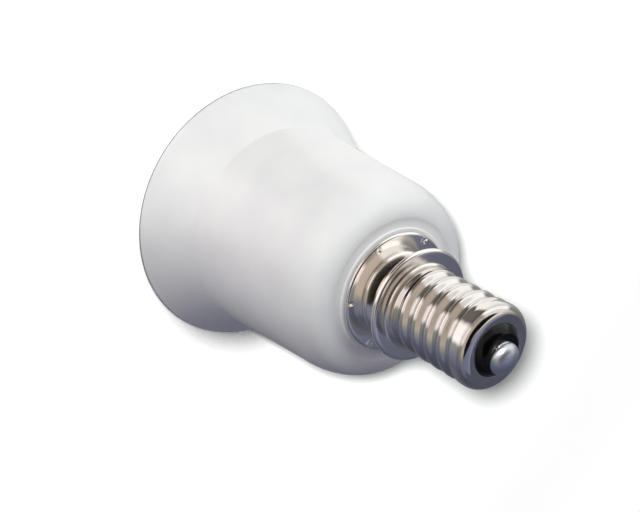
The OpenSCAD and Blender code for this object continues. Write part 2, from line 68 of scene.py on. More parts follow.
# Black glass, eyelet, solder dome, socket shell and contact leaf.
CONE_H, CONE_TOP_R, CONE_FOOT_DEG, GLASS_DEPTH = 1.55, 3.15, 108.0, 3.2
LEAD_R, EYELET_WALL, EYELET_T, EYELET_FLANGE_R = 0.4, 0.3, 0.25, 1.9
DOME_R, DOME_H, DOME_SHIFT, DOME_RIGHTING = 2.6, 1.7, (0.62, 0.55), 0.75
SHELL_T, ENTRY_R, ENTRY_H, SHELL_Z, SHELL_FLARE = 0.35, 13.45, 2.4, 6.5, 0.7
E27_MAJOR, E27_MINOR, E27_PITCH = 13.35, 12.25, 3.629
BASE_R, BASE_H, BASE_ROUND, FLOOR_HOLE_R = 12.9, 2.6, 1.1, 7.375
LEAF_W, LEAF_T, LEAF_ROOT, LEAF_TAIL, LEAF_CORNER = 5.015, 0.4, 2.8025, 1.6, 1.1
LEAF_BEND_R, LEAF_DEG, TONGUE_L, TIP_R, TIP_DEG, RIVET_X = 0.7, 24.0, 6.4, 1.5, 62.0, 2.28625

# Play between neighbours, from the loosest down to a film that only keeps two faces apart, and
# how far a thread's ends run into the plain bands.
LOOSE, GAP, FOOT_GAP, FILM = 0.2, 0.05, 0.02, 0.01
BITE = 0.3


def toward(degrees):
    """The unit vector at an angle: (cos a, sin a)."""
    a = np.radians(degrees)
    return np.array([np.cos(a), np.sin(a)])


# Heights and centres that follow from those.
SWEEP_C = np.array([SHOULDER_R - SWEEP_R, SHOULDER_Z])
ROUND_C = SWEEP_C + (SWEEP_R - ROUND_R) * toward(SWEEP_DEG)
TOP_Z = ROUND_C[1] + ROUND_R
BOSS_Z = TOP_Z + BOSS_H
BOSS_R = COLLAR_R + BOSS_LIP
ROOF_Z = TOP_Z - BODY_WALL
COLLAR_TOP = BOSS_Z + COLLAR_H
NECK_Z = COLLAR_TOP + NECK_FILLET
FLARE_C = np.array([NECK_R + FLARE_R, COLLAR_TOP + NECK_H])
LIP_C = FLARE_C + (FLARE_R + LIP_ROUND) * toward(180 - FLARE_DEG)
LIP_TOP = LIP_C[1] + LIP_ROUND
BAND_Z = LIP_TOP + BAND_H
THREAD_Z = BAND_Z - BITE
E14_LEN = E14_TURNS * E14_PITCH
THREAD_TOP = THREAD_Z + E14_LEN
NOSE_Z = THREAD_TOP - BITE
NOSE_C = np.array([E14_CREST - NOSE_ROUND, NOSE_Z + NOSE_BAND])
NOSE_TOP = NOSE_C[1] + NOSE_ROUND
EDGE_C = np.array([NOSE_HOLE_R + NOSE_EDGE, NOSE_TOP - NOSE_DISH - NOSE_EDGE])
GLASS_TOP = EDGE_C[1] + CONE_H
GLASS_Z = NOSE_TOP - GLASS_DEPTH - NOSE_EDGE
EYELET_TOP = GLASS_TOP + EYELET_T
SEAT_Z = SHOULDER_Z + BODY_WALL / 2
WEB_TOP = SEAT_Z + WEB_T
FLOOR_Z = SEAT_Z - SHELL_T
TUBE_R = LEAD_BORE_R + SEAT_WALL + GAP
SPIGOT_R = NECK_R - CAP_T - LOOSE
SPIGOT_Z = LIP_C[1] - LIP_ROUND
ENTRY_Z = SHELL_Z + SHELL_FLARE
E27_Z = ENTRY_Z + ENTRY_H - BITE
E27_TOP = FLOOR_Z - BASE_H + BITE
BEND_C = np.array([-RIVET_X - LEAF_ROOT, SEAT_Z - LEAF_T / 2 - LEAF_BEND_R])


# Lines, surfaces and meshes.

def arc(c, r, a0, a1, n):
    """n + 1 points on a circle about c: c + r (cos a, sin a), with a even from a0 to a1 degrees."""
    a = np.radians(np.linspace(a0, a1, n + 1))
    return np.column_stack((c[0] + r * np.cos(a), c[1] + r * np.sin(a)))


def bow(p, q, h, n):
    """n + 1 points from p to q, pushed aside by a parabola: p + (q - p) t + side 4 h t (1 - t)."""
    p, q = np.asarray(p, float), np.asarray(q, float)
    t = np.linspace(0, 1, n + 1)[:, None]
    d = q - p
    side = np.array([-d[1], d[0]]) / np.hypot(*d)
    return p + d * t + side * 4 * h * t * (1 - t)


def line(p, q, n):
    """n + 1 points spaced evenly on the straight line from p to q."""
    return bow(p, q, 0.0, n)


def smooth(t):
    """The smooth step 3 t^2 - 2 t^3, held at 0 before t = 0 and at 1 after t = 1."""
    t = np.clip(t, 0, 1)
    return t * t * (3 - 2 * t)


def boxed(c, power):
    """sgn(c) |c|^power: with c a cosine or sine it squares a circle, more so at a lower power."""
    return np.sign(c) * np.abs(c) ** power


def softened(profile, radius, n=5, closed=False):
    """Rounds the corners of an (r, z) line: each one that turns by 12 degrees or more becomes a
    parabola (1 - t)^2 a + 2 t (1 - t) corner + t^2 b, with a and b up to radius along its sides."""
    p = np.asarray(profile, float)
    p = p[np.append(True, np.hypot(*np.diff(p, axis=0).T) > 1e-6)]
    if closed and np.hypot(*(p[0] - p[-1])) < 1e-6:
        p = p[:-1]
    back, ahead = np.roll(p, 1, 0) - p, np.roll(p, -1, 0) - p
    back_len, ahead_len = np.hypot(*back.T), np.hypot(*ahead.T)
    cosine = -(back * ahead).sum(axis=1) / (back_len * ahead_len)
    corner = np.degrees(np.arccos(np.clip(cosine, -1, 1))) >= 12
    if not closed:
        corner[[0, -1]] = False
    d = np.minimum(radius, 0.45 * np.minimum(back_len, ahead_len))
    a = p + back * (d / back_len)[:, None]
    b = p + ahead * (d / ahead_len)[:, None]
    t = np.linspace(0, 1, n + 1)[:, None]
    curve = (1 - t) ** 2 * a[:, None] + 2 * t * (1 - t) * p[:, None] + t ** 2 * b[:, None]
    curve[~corner] = p[~corner][:, None]
    # A point that isn't a corner stays one point, the first of its row.
    return curve[corner[:, None] | (np.arange(n + 1) == 0)]


def evened(profile, step):
    """Adds points to an (r, z) line, evenly on each side, so that no side is longer than step."""
    p = np.asarray(profile, float)
    side = np.diff(p, axis=0)
    count = np.maximum(1, np.ceil(np.hypot(*side.T) / step)).astype(int)
    here = np.repeat(np.arange(len(side)), count)
    share = (np.arange(len(here)) - (np.cumsum(count) - count)[here]) / count[here]
    return np.vstack((p[here] + side[here] * share[:, None], p[-1:]))


def circle(n):
    """n angles spaced evenly round the axis."""
    return np.arange(n) * 2 * np.pi / n


def turned(profile, angles, lift=None):
    """A profile turned round the axis: (r cos a, r sin a, z) for each (r, z) and angle a. lift may
    give the pair (r, z) anew at each angle, for a thread or a punched mark."""
    r = np.repeat(profile[:, :1], len(angles), 1)
    z = np.repeat(profile[:, 1:], len(angles), 1)
    a = np.repeat(angles[None, :], len(profile), 0)
    if lift is not None:
        r, z = lift(r, z, a)
    return np.stack((r * np.cos(a), r * np.sin(a), z), axis=-1)


def rolled_thread(z, a, foot, length, pitch, crest, root, plain0, plain1, phase, narrow=1.0):
    """Radius of a rolled thread. Between its plain ends it is crest - (crest - root) u^narrow
    with u = (1 - cos(2 pi (z - foot) / pitch - a + phase)) / 2, where narrow above 1 widens the
    crests. It grows out of each plain end over half a pitch by the smooth step."""
    run = pitch / 2
    grow = smooth((z - foot) / run) * smooth((foot + length - z) / run)
    plain = np.where(z < foot + length / 2, plain0, plain1)
    u = (1 - np.cos(2 * np.pi * (z - foot) / pitch - a + np.radians(phase))) / 2
    wave = crest - (crest - root) * u ** narrow
    return plain + (wave - plain) * grow


def end_closed(tube):
    """A tube's grid (sections, points round, xyz), with each end drawn to its section's middle."""
    middle = np.repeat(tube[[0, -1]].mean(axis=1, keepdims=True), tube.shape[1], 1)
    return np.concatenate((middle[:1], tube, middle[1:]))


def grid_mesh(name, points, close_u, close_v):
    """A mesh from a grid of points (rows u, columns v, xyz) in millimetres: a four-sided face
    between each two rows and columns, joined round where close_u or close_v says so. Points that
    meet are merged, and the faces are turned outwards."""
    nu, nv = points.shape[:2]
    i = np.arange(nu if close_u else nu - 1)[:, None]
    j = np.arange(nv if close_v else nv - 1)[None, :]
    i1, j1 = (i + 1) % nu, (j + 1) % nv
    quads = np.stack((i * nv + j, i * nv + j1, i1 * nv + j1, i1 * nv + j), axis=-1).reshape(-1, 4)
    mesh = bpy.data.meshes.new(name)
    mesh.from_pydata((points.reshape(-1, 3) * MM).tolist(), [], quads.tolist())
    bm = bmesh.new()
    bm.from_mesh(mesh)
    bmesh.ops.remove_doubles(bm, verts=bm.verts, dist=1e-7)
    bmesh.ops.dissolve_degenerate(bm, edges=bm.edges, dist=1e-8)
    bmesh.ops.recalc_face_normals(bm, faces=bm.faces)
    bm.to_mesh(mesh)
    bm.free()
    mesh.shade_smooth()
    return mesh


def joined(name, grids):
    """Several closed grids as one mesh, each with its own faces."""
    bm = bmesh.new()
    for points in grids:
        part = grid_mesh(name, points, False, True)
        bm.from_mesh(part)
        bpy.data.meshes.remove(part)
    mesh = bpy.data.meshes.new(name)
    bm.to_mesh(mesh)
    bm.free()
    mesh.shade_smooth()
    return mesh


def piece(mesh, material, body="adapter"):
    """An object at the origin with the mesh, its name and its material. It rides on a body where
    one is named."""
    obj = bpy.data.objects.new(mesh.name, mesh)
    bpy.context.scene.collection.objects.link(obj)
    mesh.materials.append(material)
    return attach(obj, body) if body else obj


# Materials.

def tint(code):
    """sRGB hex to linear RGBA: c / 12.92 up to 0.04045, else ((c + 0.055) / 1.055) ^ 2.4."""
    c = np.array([int(code[k:k + 2], 16) for k in (1, 3, 5)]) / 255
    c = np.where(c <= 0.04045, c / 12.92, ((c + 0.055) / 1.055) ** 2.4)
    return (*[float(v) for v in c], 1.0)


def add(tree, kind, inputs=None, stops=(), **settings):
    """Adds one node. inputs gives each socket a value, an output, or a node whose first output is
    meant. stops are a colour ramp's (place, colour code) pairs, and settings the node's own
    properties."""
    node = tree.nodes.new(kind)
    for key, value in settings.items():
        setattr(node, key, value)
    if stops:
        marks = node.color_ramp.elements
        while len(marks) < len(stops):
            marks.new(0.5)
        for mark, (place, code) in zip(marks, stops):
            mark.position = place
            mark.color = tint(code)
    for key, value in (inputs or {}).items():
        if isinstance(value, bpy.types.Node):
            value = value.outputs[0]
        if isinstance(value, bpy.types.NodeSocket):
            tree.links.new(value, node.inputs[key])
        else:
            node.inputs[key].default_value = value
    return node


def blank(name):
    """A new material and its empty node tree."""
    m = bpy.data.materials.new(name)
    m.use_nodes = True
    m.node_tree.nodes.clear()
    return m, m.node_tree


def moulded_white_plastic():
    """White PBT, injection moulded in a polished tool: satin gloss, faint flow mottle, fine orange
    peel."""
    m, t = blank("white_PBT_moulded")
    at = add(t, "ShaderNodeTexCoord").outputs["Object"]
    # Flow mottle about 9 mm across, and orange peel about 0.9 mm across.
    mottle = add(t, "ShaderNodeTexNoise", {"Vector": at, "Scale": 1 / (9 * MM), "Detail": 2.0})
    peel = add(t, "ShaderNodeTexNoise", {"Vector": at, "Scale": 1 / (0.9 * MM), "Detail": 1.0})
    colour = add(t, "ShaderNodeValToRGB", {0: mottle}, [(0.35, "#E4E3E8"), (0.65, "#EAE9ED")])
    rough = add(t, "ShaderNodeMapRange", {"Value": mottle, "To Min": 0.30, "To Max": 0.40})
    bump = add(t, "ShaderNodeBump", {"Height": peel, "Strength": 0.12, "Distance": 0.02 * MM})
    shader = add(t, "ShaderNodeBsdfPrincipled",
                 {"Base Color": colour, "Roughness": rough, "Normal": bump, "IOR": 1.5})
    add(t, "ShaderNodeOutputMaterial", {"Surface": shader})
    return m


def plated_sheet(name, bright, dull, rough0, rough1, wave, painted_sheen=None):
    """Plating on drawn sheet: a mirror with a soft bloom, and drawn marks that run round it. Given
    a second colour, the collar and lip below the thread are painted that brighter white, a painted
    sheen that lifts their reflection, with a satin face on each."""
    m, t = blank(name)
    at = add(t, "ShaderNodeTexCoord").outputs["Object"]
    # Bloom about 2.5 mm across.
    bloom = add(t, "ShaderNodeTexNoise", {"Vector": at, "Scale": 1 / (2.5 * MM), "Detail": 3.0})
    # Drawn marks run round the axis, so the pattern is stretched sideways and stays fine along it.
    # Real ones are some hundredths of a millimetre apart: they are drawn 0.5 mm apart to show.
    stretch = add(t, "ShaderNodeMapping", {"Vector": at, "Scale": (0.12, 0.12, 1.0)})
    marks = add(t, "ShaderNodeTexNoise",
                {"Vector": stretch, "Scale": 1 / (0.5 * MM), "Detail": 2.0})
    colour = add(t, "ShaderNodeValToRGB", {0: bloom}, [(0.3, dull), (0.7, bright)]).outputs[0]
    rough = add(t, "ShaderNodeMapRange", {"Value": bloom, "To Min": rough0, "To Max": rough1})
    if painted_sheen:
        # The painted sheen, a brighter white that lifts the reflection, ends between 0.2 and 0.6 mm
        # above the lip.
        height = add(t, "ShaderNodeSeparateXYZ", {"Vector": at}).outputs["Z"]
        share = add(t, "ShaderNodeMapRange", {"Value": height, "From Min": (LIP_TOP + 0.2) * MM,
                                              "From Max": (LIP_TOP + 0.6) * MM})
        colour = add(t, "ShaderNodeMix", {"Factor": share, 6: tint(painted_sheen), 7: colour},
                     data_type="RGBA").outputs[2]
        for face in (COLLAR_TOP, LIP_TOP):
            # Within 0.12 mm of the face's height the roughness is 0.05 higher.
            flat = add(t, "ShaderNodeMath", {0: height, 1: face * MM, 2: 0.12 * MM},
                       operation="COMPARE")
            rough = add(t, "ShaderNodeMath", {0: flat, 1: 0.05, 2: rough}, operation="MULTIPLY_ADD")
    bump = add(t, "ShaderNodeBump", {"Height": marks, "Strength": wave, "Distance": 0.01 * MM})
    shader = add(t, "ShaderNodeBsdfPrincipled",
                 {"Base Color": colour, "Metallic": 1.0, "Roughness": rough, "Normal": bump})
    add(t, "ShaderNodeOutputMaterial", {"Surface": shader})
    return m


def fused_black_glass():
    """Black glass fused into the cap: almost no colour, and a fire-polished gloss with slow ripples
    1.6 mm apart."""
    m, t = blank("black_glass_fused")
    at = add(t, "ShaderNodeTexCoord").outputs["Object"]
    ripple = add(t, "ShaderNodeTexNoise", {"Vector": at, "Scale": 1 / (1.6 * MM), "Detail": 1.0})
    colour = add(t, "ShaderNodeValToRGB", {0: ripple}, [(0.3, "#040405"), (0.7, "#09080A")])
    bump = add(t, "ShaderNodeBump", {"Height": ripple, "Strength": 0.5, "Distance": 0.08 * MM})
    shader = add(t, "ShaderNodeBsdfPrincipled",
                 {"Base Color": colour, "Roughness": 0.12, "Normal": bump, "IOR": 1.5,
                  "Specular IOR Level": 0.28})
    add(t, "ShaderNodeOutputMaterial", {"Surface": shader})
    return m


def cast_solder():
    """Tin solder that set on the tip: silver grey, smooth, with a faint frosted skin of 0.4 mm
    crystals."""
    m, t = blank("tin_solder_set")
    at = add(t, "ShaderNodeTexCoord").outputs["Object"]
    skin = add(t, "ShaderNodeTexVoronoi", {"Vector": at, "Scale": 1 / (0.4 * MM)})
    colour = add(t, "ShaderNodeValToRGB", {0: skin}, [(0.1, "#D9DEE6"), (0.7, "#CBD0D9")])
    rough = add(t, "ShaderNodeMapRange", {"Value": skin, "To Min": 0.36, "To Max": 0.42})
    bump = add(t, "ShaderNodeBump", {"Height": skin, "Strength": 0.08, "Distance": 0.02 * MM})
    shader = add(t, "ShaderNodeBsdfPrincipled",
                 {"Base Color": colour, "Metallic": 1.0, "Roughness": rough, "Normal": bump})
    add(t, "ShaderNodeOutputMaterial", {"Surface": shader})
    return m


def rolled_strip(name, light, dark, rough, grain):
    """Rolled or drawn copper alloy: marks along X and a slow tarnish. Real marks are finer than the
    render can show, so they are drawn grain millimetres apart."""
    m, t = blank(name)
    at = add(t, "ShaderNodeTexCoord").outputs["Object"]
    along = add(t, "ShaderNodeMapping", {"Vector": at, "Scale": (0.08, 1.0, 1.0)})
    marks = add(t, "ShaderNodeTexNoise",
                {"Vector": along, "Scale": 1 / (grain * MM), "Detail": 3.0})
    # Tarnish about 3 mm across.
    tarnish = add(t, "ShaderNodeTexNoise", {"Vector": at, "Scale": 1 / (3.0 * MM), "Detail": 2.0})
    colour = add(t, "ShaderNodeValToRGB", {0: tarnish}, [(0.3, dark), (0.7, light)])
    span = add(t, "ShaderNodeMapRange", {"Value": marks, "To Min": rough, "To Max": rough + 0.14})
    bump = add(t, "ShaderNodeBump", {"Height": marks, "Strength": 0.2, "Distance": 0.01 * MM})
    shader = add(t, "ShaderNodeBsdfPrincipled",
                 {"Base Color": colour, "Metallic": 1.0, "Roughness": span, "Normal": bump})
    add(t, "ShaderNodeOutputMaterial", {"Surface": shader})
    return m


def braided_sleeve():
    """Varnished glass-fibre sleeve: matt, cream, with a braid about 0.6 mm from rib to rib."""
    m, t = blank("glass_fibre_sleeve_varnished")
    at = add(t, "ShaderNodeTexCoord").outputs["Object"]
    braid = add(t, "ShaderNodeTexVoronoi", {"Vector": at, "Scale": 1 / (0.6 * MM)})
    colour = add(t, "ShaderNodeValToRGB", {0: braid}, [(0.1, "#D9D1B5"), (0.7, "#C6BC9C")])
    bump = add(t, "ShaderNodeBump", {"Height": braid, "Strength": 0.5, "Distance": 0.05 * MM})
    shader = add(t, "ShaderNodeBsdfPrincipled",
                 {"Base Color": colour, "Roughness": 0.7, "Normal": bump})
    add(t, "ShaderNodeOutputMaterial", {"Surface": shader})
    return m


white_plastic = moulded_white_plastic()
# The brass pressing's collar and lip get a painted sheen of brighter white.
nickel_on_brass = plated_sheet("nickel_plate_on_drawn_brass", "#DEDAD6", "#D4D0CC",
                               0.07, 0.12, 0.03, "#F5F1ED")
nickel_on_steel = plated_sheet("nickel_plate_on_drawn_steel", "#C9C4BE", "#BAB5AF",
                               0.20, 0.30, 0.16)
zinc_steel = plated_sheet("zinc_plate_on_steel", "#BDBCB9", "#A9A8A4", 0.26, 0.38, 0.2)
black_glass = fused_black_glass()
tin_solder = cast_solder()
bronze_strip = rolled_strip("phosphor_bronze_rolled", "#D3A173", "#BE8A5C", 0.24, 0.12)
brass_strip = rolled_strip("brass_rolled", "#D9BC77", "#C6A65F", 0.22, 0.12)
copper_wire = rolled_strip("copper_wire_drawn", "#CF8A63", "#B9714B", 0.28, 0.15)
sleeve_fibre = braided_sleeve()


# Housing.

def housing_profile():
    """The moulding's section: rim, flared skirt, tapered body, sweep, rounded shoulder, shallow
    dip, boss and spigot outside; lead bore, web, pocket, seat ring, moat and skirt inside. It
    starts and ends on the axis."""
    rim = [MOUTH_R - RIM_WALL + RIM_ROUND / 2, 0]
    collar_seat_z = COLLAR_TOP - CAP_T - GAP
    outside = np.vstack((
        [rim],
        arc([MOUTH_R - RIM_ROUND, RIM_ROUND], RIM_ROUND, -90, 0, 8),
        bow([MOUTH_R, RIM_ROUND], [FOOT_R, SKIRT_H], SKIRT_BOW, 24),
        line([FOOT_R, SKIRT_H], [SHOULDER_R, SHOULDER_Z], 30)[1:],
        arc(SWEEP_C, SWEEP_R, 0, SWEEP_DEG, 20)[1:],
        arc(ROUND_C, ROUND_R, SWEEP_DEG, 90, 24)[1:],
        bow([ROUND_C[0], TOP_Z], [BOSS_R + BOSS_H, TOP_Z], DIP_H, 14)[1:],
        [[BOSS_R, BOSS_Z], [COLLAR_R - COLLAR_ROUND, BOSS_Z],
         [COLLAR_R - COLLAR_ROUND, collar_seat_z], [SPIGOT_R, collar_seat_z],
         [SPIGOT_R, SPIGOT_Z - LIP_ROUND], [SPIGOT_R - LIP_ROUND, SPIGOT_Z],
         [LEAD_BORE_R, SPIGOT_Z], [LEAD_BORE_R, WEB_TOP], [0, WEB_TOP]]))
    inside = np.vstack((
        [rim],
        bow([MOUTH_R - RIM_WALL, RIM_ROUND], [FOOT_R - BODY_WALL, SKIRT_H], SKIRT_BOW, 16),
        line([FOOT_R - BODY_WALL, SKIRT_H], [SHOULDER_R - BODY_WALL, SHOULDER_Z], 20)[1:],
        arc(SWEEP_C, SWEEP_R - BODY_WALL, 0, SWEEP_DEG, 12)[1:-1],
        arc(ROUND_C, ROUND_R - BODY_WALL, SWEEP_DEG, 90, 10),
        [[SEAT_R, ROOF_Z], [SEAT_R, SEAT_Z], [SEAT_R - SEAT_WALL, SEAT_Z],
         [SEAT_R - SEAT_WALL, ROOF_Z], [TUBE_R, ROOF_Z], [TUBE_R, SEAT_Z], [0, SEAT_Z]]))
    return evened(softened(np.vstack((inside[::-1], outside[1:])), CORNER_ROUND), 1.4)


def wall_radius(z):
    """Inner radius of the body wall: it falls evenly from the skirt to the shoulder."""
    share = (z - SKIRT_H) / (SHOULDER_Z - SKIRT_H)
    return FOOT_R - BODY_WALL + (SHOULDER_R - FOOT_R) * share


def rib_grids():
    """The centring ribs: each is a rounded bar. Its section at height z spans from the socket's
    clearance circle to BITE inside the wall, and falls with the sweep above the shoulder; it is the
    superellipse (half (cos a)^0.35, thickness / 2 (sin a)^0.35), a box with rounded corners."""
    z = np.concatenate(([RIB_Z, RIB_Z + 0.02], np.linspace(RIB_Z + 0.25, SEAT_Z + RIB_RISE, 12)))
    r0 = ENTRY_R + SHELL_T + LOOSE
    r1 = np.minimum(wall_radius(z), wall_radius(SHOULDER_Z)) + BITE
    r1 = np.where(z > SHOULDER_Z, r1 - RIB_FALL * (z - SHOULDER_Z), r1)
    # The lowest 0.02 mm is drawn in, for a soft edge.
    draw = np.where(z > RIB_Z, 1.0, 0.8)[:, None]
    # The angles start just off 0, where rounding leaves the sine's sign open.
    a = circle(28) + 0.01
    r = ((r0 + r1) / 2)[:, None] + ((r1 - r0) / 2)[:, None] * draw * boxed(np.cos(a), 0.35)
    t = RIB_T / 2 * draw * boxed(np.sin(a), 0.35)
    height = np.repeat(z[:, None], len(a), 1)
    return [end_closed(np.stack((r * np.cos(turn) - t * np.sin(turn),
                                 r * np.sin(turn) + t * np.cos(turn), height), axis=-1))
            for turn in circle(RIB_COUNT)]


points = turned(housing_profile(), circle(240))
housing = piece(grid_mesh("housing_moulding", points, False, True), white_plastic)
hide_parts("housing")
ribs = piece(joined("housing_ribs", rib_grids()), white_plastic)
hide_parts("housing")


# Lamp cap.

def cap_profile():
    """Section of the cap's sheet, outside from the collar's foot to the nose's hole, then back
    inside, and the number of points outside."""
    neck_c = [NECK_R - NECK_LEAN + NECK_FILLET, NECK_Z]
    band_foot = BAND_R - BAND_LEAN
    outside = np.vstack((
        [[COLLAR_R, BOSS_Z + FOOT_GAP]],
        arc([COLLAR_R - COLLAR_ROUND, COLLAR_TOP - COLLAR_ROUND], COLLAR_ROUND, 0, 90, 12),
        line([COLLAR_R - COLLAR_ROUND, COLLAR_TOP], [NECK_R + NECK_FILLET, COLLAR_TOP], 12)[1:-1],
        arc(neck_c, NECK_FILLET, 270, 180 - UNDERCUT_DEG, 10),
        arc(FLARE_C, FLARE_R, 180 - UNDERCUT_DEG, 180 - FLARE_DEG, 16),
        arc(LIP_C, LIP_ROUND, -FLARE_DEG + 8, 90, 12),
        line([LIP_C[0], LIP_TOP], [band_foot + CAP_T, LIP_TOP], 5)[1:-1],
        arc([band_foot + CAP_T, LIP_TOP + CAP_T], CAP_T, 270, 180, 6),
        line([band_foot, LIP_TOP + CAP_T], [BAND_R, THREAD_Z], 5)[1:-1],
        line([BAND_R, THREAD_Z], [E14_CREST, THREAD_TOP], 104),
        arc(NOSE_C, NOSE_ROUND, 4, 90, 16),
        line([NOSE_C[0], NOSE_TOP], [EDGE_C[0], EDGE_C[1] + NOSE_EDGE], 8)[1:-1],
        arc(EDGE_C, NOSE_EDGE, 90, 180, 8)))
    inside = np.vstack((
        arc(EDGE_C, NOSE_EDGE - CAP_T, 180, 90, 3),
        arc(NOSE_C, NOSE_ROUND - CAP_T, 90, 6, 8),
        line([E14_CREST - CAP_T, THREAD_TOP], [BAND_R - CAP_T, THREAD_Z], 54),
        arc([BAND_R + CAP_T, LIP_TOP + CAP_T], 2 * CAP_T, 180, 270, 4),
        arc(LIP_C, LIP_ROUND - CAP_T, 90, -FLARE_DEG + 20, 4),
        arc(FLARE_C, FLARE_R + CAP_T, 180 - FLARE_DEG, 180, 8),
        arc([NECK_R + NECK_FILLET, NECK_Z], NECK_FILLET + CAP_T, 180, 270, 6),
        arc([COLLAR_R - COLLAR_ROUND, COLLAR_TOP - COLLAR_ROUND], COLLAR_ROUND - CAP_T, 90, 0, 4),
        [[COLLAR_R - CAP_T, BOSS_Z + FOOT_GAP]]))
    return np.vstack((outside, inside)), len(outside)


def cap_angles():
    """Angles round the cap, closer together near each punched stake: 14 steps across 8 degrees of
    it, then 22 steps to the next."""
    step = 360 / STAKES
    one = np.concatenate((np.linspace(-4, 4, 15)[:-1], np.linspace(4, step - 4, 23)[:-1]))
    return np.radians((STAKE_TURN + step * np.arange(STAKES)[:, None] + one).ravel())


def cap_lift(split):
    """The thread on both faces of the sheet, and the stakes in the collar. A stake is as wide as a
    ball's print of its depth. At the share d of that radius it goes down by depth (1 - d^2), and
    round it lies a burr of height STAKE_BURR e^-((d - 1.12) / 0.22)^2."""
    def lift(r, z, a):
        inner = np.arange(len(r))[:, None] >= split
        threaded = ((z >= THREAD_Z - 1e-6) & (z <= THREAD_TOP + 1e-6)
                    & (r > E14_ROOT - CAP_T - 0.3) & (r < BAND_R + 0.05))
        face = rolled_thread(z, a, THREAD_Z, E14_LEN, E14_PITCH, E14_CREST, E14_ROOT, BAND_R,
                             E14_CREST, E14_PHASE, E14_NARROW)
        r = np.where(threaded, np.where(inner, face - CAP_T + GAP, face), r)
        middle = COLLAR_R - COLLAR_ROUND - STAKE_R / 2
        reach = np.sqrt(2 * STAKE_R * STAKE_DEPTH - STAKE_DEPTH ** 2)
        half = np.pi / STAKES
        turn = (a - np.radians(STAKE_TURN) + half) % (2 * half) - half
        d = np.hypot(r - middle, turn * r) / reach
        dent = np.where(d < 1, -STAKE_DEPTH * (1 - d ** 2),
                        STAKE_BURR * np.exp(-((d - 1.12) / 0.22) ** 2))
        collar = ((z > BOSS_Z + 0.1) & (z < COLLAR_TOP + FILM) & (r > NECK_R + NECK_FILLET)
                  & ~inner)
        return r, np.where(collar, z + dent, z)
    return lift


profile, split = cap_profile()
points = turned(profile, cap_angles(), cap_lift(split))
cap = piece(grid_mesh("cap_pressing", points, True, True), nickel_on_brass)
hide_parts("cap_shell")


def glass_profile():
    """Section of the fused glass: up the inside of the nose, out over its inner edge, up the cone
    to a rounded top and down the eyelet's hole."""
    hole = LEAD_R + GAP + EYELET_WALL + GAP
    crest, root = E14_CREST - CAP_T - GAP, E14_ROOT - CAP_T - GAP
    foot = EDGE_C + NOSE_EDGE * toward(CONE_FOOT_DEG)
    whole = np.vstack((
        [[hole, GLASS_Z], [root, GLASS_Z], [root, THREAD_TOP], [crest, NOSE_C[1] - BITE]],
        arc(NOSE_C, NOSE_ROUND - CAP_T - GAP, 0, 90, 10),
        [[EDGE_C[0], EDGE_C[1] + GAP]],
        bow(foot, [CONE_TOP_R, GLASS_TOP], -0.1, 10),
        [[hole, GLASS_TOP]]))
    return evened(softened(whole, CORNER_ROUND, 6, closed=True), 0.4)


points = turned(glass_profile(), circle(160))
glass = piece(grid_mesh("glass_insulator", points, True, True), black_glass)
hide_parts("cap_insulator")


def dome_points():
    """The solder bead: height foot + rise (1 - s^2)^0.5 over the share s of its radius, with the
    edge drawn in by slow waves, cos 2a and cos 3a, as solder sets. It set a little off the axis,
    most at its foot: each point moves by DOME_SHIFT (1 - DOME_RIGHTING (z - foot) / rise). Its
    underside is flat on the glass, with a pocket for the eyelet's flange."""
    a = circle(96)
    s = np.sin(np.linspace(0, np.pi / 2, 26))
    foot = GLASS_TOP + GAP / 2
    rise = EYELET_TOP + DOME_H - foot
    reach = DOME_R * (1 - 0.012 * np.cos(2 * a + 0.6) - 0.010 * np.cos(3 * a))
    z = np.repeat((foot + rise * np.sqrt(1 - s ** 2))[:, None], len(a), 1)
    r = s[:, None] * reach
    off = 1 - DOME_RIGHTING * (z - foot) / rise
    top = np.stack((r * np.cos(a) + off * DOME_SHIFT[0], r * np.sin(a) + off * DOME_SHIFT[1], z),
                   axis=-1)
    pocket_r, pocket_z = EYELET_FLANGE_R + GAP, EYELET_TOP + FILM
    pocket = np.array([[pocket_r, foot], [pocket_r, pocket_z], [0, pocket_z]])
    return np.concatenate((top, turned(pocket, a)))


dome = piece(grid_mesh("solder_dome", dome_points(), False, True), tin_solder)
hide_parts("tip_solder")


# Lamp socket and its centre contact.

def socket_profile():
    """Section of the socket's sheet, inside from the flared rim along the thread to the in-turned
    floor, then back outside, and the number of points inside."""
    c = [BASE_R - BASE_ROUND, FLOOR_Z - BASE_ROUND]
    back_z = SEAT_Z - FILM
    inside = np.vstack((
        bow([ENTRY_R + SHELL_FLARE, SHELL_Z], [ENTRY_R, ENTRY_Z], 0.06, 6),
        line([ENTRY_R, ENTRY_Z], [ENTRY_R, E27_Z], 6)[1:-1],
        line([ENTRY_R, E27_Z], [BASE_R, E27_TOP], 110),
        line([BASE_R, E27_TOP], [BASE_R, c[1]], 4)[1:-1],
        arc(c, BASE_ROUND, 0, 90, 8),
        line([c[0], FLOOR_Z], [FLOOR_HOLE_R, FLOOR_Z], 8)[1:]))
    outside = np.vstack((
        line([FLOOR_HOLE_R, back_z], [c[0], back_z], 4),
        arc(c, BASE_ROUND + SHELL_T - FILM, 90, 0, 8),
        line([BASE_R + SHELL_T, E27_TOP], [ENTRY_R + SHELL_T, E27_Z], 60),
        line([ENTRY_R + SHELL_T, E27_Z], [ENTRY_R + SHELL_T, ENTRY_Z], 3)[1:],
        [[ENTRY_R + SHELL_T + SHELL_FLARE, SHELL_Z]]))
    return np.vstack((inside, outside)), len(inside)


